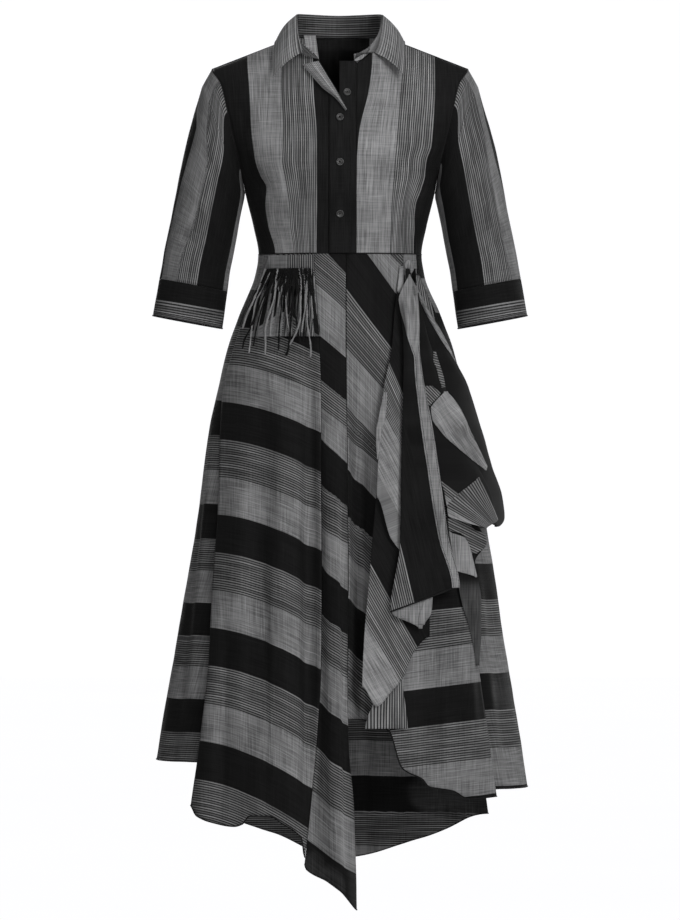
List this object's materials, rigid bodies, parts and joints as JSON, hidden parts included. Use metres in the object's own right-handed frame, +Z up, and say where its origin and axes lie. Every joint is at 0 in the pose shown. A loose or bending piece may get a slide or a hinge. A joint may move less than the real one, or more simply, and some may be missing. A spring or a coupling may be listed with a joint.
{
  "type": "asymmetric striped shirt dress",
  "caption": "Hollow striped shirt dress with a collar, half placket, cuffed sleeves, a gathered fringed pocket, a side drape and a handkerchief hem.",
  "frame": {"origin": "midway between the two neck points of the shoulder seams, where a wearer or a hanger holds the dress up", "axes": "+Z up; the front faces -Y; +X is on the right of somebody who faces the dress"},
  "size_m": [0.5803, 0.4803, 1.3775],
  "materials": {
    "striped": "matt handloom cotton, broad black, grey and finely lined stripes",
    "black": "matt black cotton",
    "grey": "matt grey chambray with slubs",
    "button": "satin black"
  },
  "bodies": {
    "root": {"bodice_front_left": "striped", "bodice_front_right": "striped", "bodice_back": "striped", "placket_top": "black", "placket_under": "black", "lapel_turned_back": "grey", "collar_stand": "grey", "collar_leaf": "striped", "sleeve_left": "striped", "sleeve_right": "striped", "cuff_left": "black", "cuff_right": "black", "skirt_front_left": "striped", "skirt_centre_left": "striped", "skirt_centre_right": "striped", "skirt_front_right": "striped", "skirt_side_left": "striped", "skirt_side_right": "striped", "skirt_back": "striped", "drape_tail": "black", "drape_tail_corner": "grey", "drape_cascade_upper": "striped", "drape_cascade_lower": "striped", "drape_cascade_foot": "striped", "drape_side": "striped", "drape_ruffle": "striped", "drape_knot": "grey", "pocket_band": "grey", "pocket_pouch": "striped", "pocket_fringe": "striped", "button_1": "button", "button_2": "button", "button_3": "button", "button_4": "button"}
  },
  "joints": []
}
